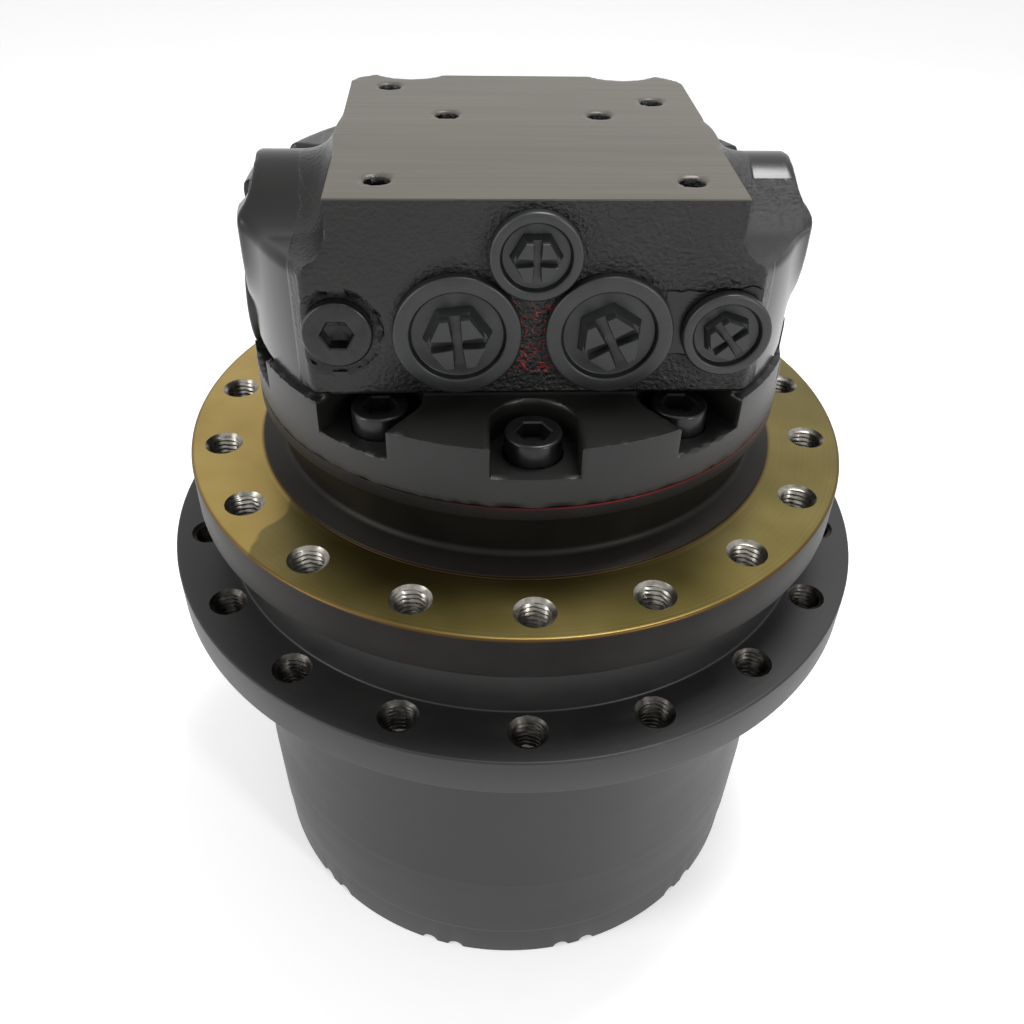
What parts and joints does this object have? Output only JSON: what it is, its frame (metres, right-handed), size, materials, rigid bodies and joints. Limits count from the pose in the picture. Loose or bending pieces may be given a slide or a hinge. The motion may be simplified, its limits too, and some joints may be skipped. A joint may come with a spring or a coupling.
{
  "type": "excavator final drive",
  "caption": "Hydraulic travel motor with planetary gearbox: black port block, passivated frame flange and rotating gear housing with sprocket flange.",
  "frame": {"origin": "on the drive's axis, in the plane of the gear housing's bottom rim", "axes": "+Z along the drive's axis towards the port block; the port face looks along -Y; +X to its right"},
  "size_m": [0.32, 0.32, 0.3735],
  "materials": {
    "black_paint": "gloss black paint over rough cast iron, machined faces smooth",
    "grey_paint": "satin dark grey paint",
    "yellow_passivated_steel": "turned steel, yellow passivated",
    "bright_steel": "ground",
    "black_steel": "black oxide",
    "black_plastic": "satin moulded polyethylene",
    "rubber": "matte",
    "bronze": "lapped",
    "friction_lining": "sintered, matte"
  },
  "bodies": {
    "root": {"spindle": "yellow_passivated_steel", "port_block": "black_paint", "block_screw_a": "black_steel", "block_screw_b": "black_steel", "block_screw_c": "black_steel", "block_screw_d": "black_steel", "block_screw_e": "black_steel", "block_screw_f": "black_steel", "block_screw_g": "black_steel", "block_screw_h": "black_steel", "block_screw_i": "black_steel", "block_screw_j": "black_steel", "port_plug_left": "black_plastic", "port_plug_right": "black_plastic", "drain_plug": "black_plastic", "pilot_plug": "black_plastic", "steel_plug": "black_steel", "side_cover": "black_plastic", "spool_cap_left": "black_steel", "spool_cap_right": "black_steel", "block_seal_ring": "rubber", "bearing_nut": "bright_steel", "lower_bearing_inner_ring": "bright_steel", "upper_bearing_inner_ring": "bright_steel", "frame_seal_ring": "bright_steel", "frame_seal_rubber": "rubber", "swash_plate": "bright_steel", "valve_plate": "bronze", "separator_disc": "bright_steel", "shaft_bearing": "bright_steel", "brake_spring": "bright_steel"},
    "hub": {"gear_housing": "grey_paint", "ring_gear": "bright_steel", "end_cover": "grey_paint", "cover_snap_ring": "bright_steel", "oil_fill_plug": "bright_steel", "oil_drain_plug": "bright_steel", "lower_bearing_outer_ring": "bright_steel", "upper_bearing_outer_ring": "bright_steel", "housing_seal_ring": "bright_steel", "housing_seal_rubber": "rubber"},
    "carrier": {"planet_carrier_1": "bright_steel", "sun_gear_2": "bright_steel"},
    "rotor": {"drive_shaft": "bright_steel", "cylinder_barrel": "bright_steel", "piston_set": "bright_steel", "friction_disc_a": "friction_lining", "friction_disc_b": "friction_lining"},
    "lower_cage": {"lower_bearing_balls": "bright_steel"},
    "upper_cage": {"upper_bearing_balls": "bright_steel"},
    "spool": {"counterbalance_spool": "bright_steel"},
    "brake": {"brake_piston": "bright_steel"},
    "planet_1_a": {"planet_1_a": "bright_steel"},
    "planet_2_a": {"planet_2_a": "bright_steel"},
    "planet_1_b": {"planet_1_b": "bright_steel"},
    "planet_2_b": {"planet_2_b": "bright_steel"},
    "planet_1_c": {"planet_1_c": "bright_steel"},
    "planet_2_c": {"planet_2_c": "bright_steel"}
  },
  "joints": [
    {"name": "hub_spin", "type": "hinge", "parent": "root", "child": "hub", "pos_m": [0, 0, 0.1], "axis": [0, 0, 1], "continuous": true},
    {"name": "carrier_spin", "type": "hinge", "parent": "root", "child": "carrier", "pos_m": [0, 0, 0.045], "axis": [0, 0, 1], "continuous": true},
    {"name": "rotor_spin", "type": "hinge", "parent": "root", "child": "rotor", "pos_m": [0, 0, 0.15], "axis": [0, 0, 1], "continuous": true},
    {"name": "lower_cage_spin", "type": "hinge", "parent": "root", "child": "lower_cage", "pos_m": [0, 0, 0.1143], "axis": [0, 0, 1], "continuous": true},
    {"name": "upper_cage_spin", "type": "hinge", "parent": "root", "child": "upper_cage", "pos_m": [0, 0, 0.1683], "axis": [0, 0, 1], "continuous": true},
    {"name": "planet_1_a_spin", "type": "hinge", "parent": "carrier", "child": "planet_1_a", "pos_m": [0.05846, 0.03375, 0.03], "axis": [0, 0, 1], "continuous": true},
    {"name": "planet_2_a_spin", "type": "hinge", "parent": "root", "child": "planet_2_a", "pos_m": [0, 0.0675, 0.07], "axis": [0, 0, 1], "continuous": true},
    {"name": "planet_1_b_spin", "type": "hinge", "parent": "carrier", "child": "planet_1_b", "pos_m": [-0.05846, 0.03375, 0.03], "axis": [0, 0, 1], "continuous": true},
    {"name": "planet_2_b_spin", "type": "hinge", "parent": "root", "child": "planet_2_b", "pos_m": [-0.05846, -0.03375, 0.07], "axis": [0, 0, 1], "continuous": true},
    {"name": "planet_1_c_spin", "type": "hinge", "parent": "carrier", "child": "planet_1_c", "pos_m": [0, -0.0675, 0.03], "axis": [0, 0, 1], "continuous": true},
    {"name": "planet_2_c_spin", "type": "hinge", "parent": "root", "child": "planet_2_c", "pos_m": [0.05846, -0.03375, 0.07], "axis": [0, 0, 1], "continuous": true},
    {"name": "spool_slide", "type": "slide", "parent": "root", "child": "spool", "axis": [1, 0, 0], "range_m": [-0.004, 0.004], "stiffness_N_per_m": 4000},
    {"name": "brake_release", "type": "slide", "parent": "root", "child": "brake", "axis": [0, 0, 1], "range_m": [0, 0.002], "deforming": ["brake_spring"]}
  ],
  "couplings": [
    {"joint": "carrier_spin", "follows": "hub_spin", "ratio": -4},
    {"joint": "rotor_spin", "follows": "hub_spin", "ratio": -24},
    {"joint": "lower_cage_spin", "follows": "hub_spin", "ratio": 0.5247},
    {"joint": "upper_cage_spin", "follows": "hub_spin", "ratio": 0.5247},
    {"joint": "planet_1_a_spin", "follows": "hub_spin", "ratio": 13.333},
    {"joint": "planet_2_a_spin", "follows": "hub_spin", "ratio": 2.6667},
    {"joint": "planet_1_b_spin", "follows": "hub_spin", "ratio": 13.333},
    {"joint": "planet_2_b_spin", "follows": "hub_spin", "ratio": 2.6667},
    {"joint": "planet_1_c_spin", "follows": "hub_spin", "ratio": 13.333},
    {"joint": "planet_2_c_spin", "follows": "hub_spin", "ratio": 2.6667}
  ]
}
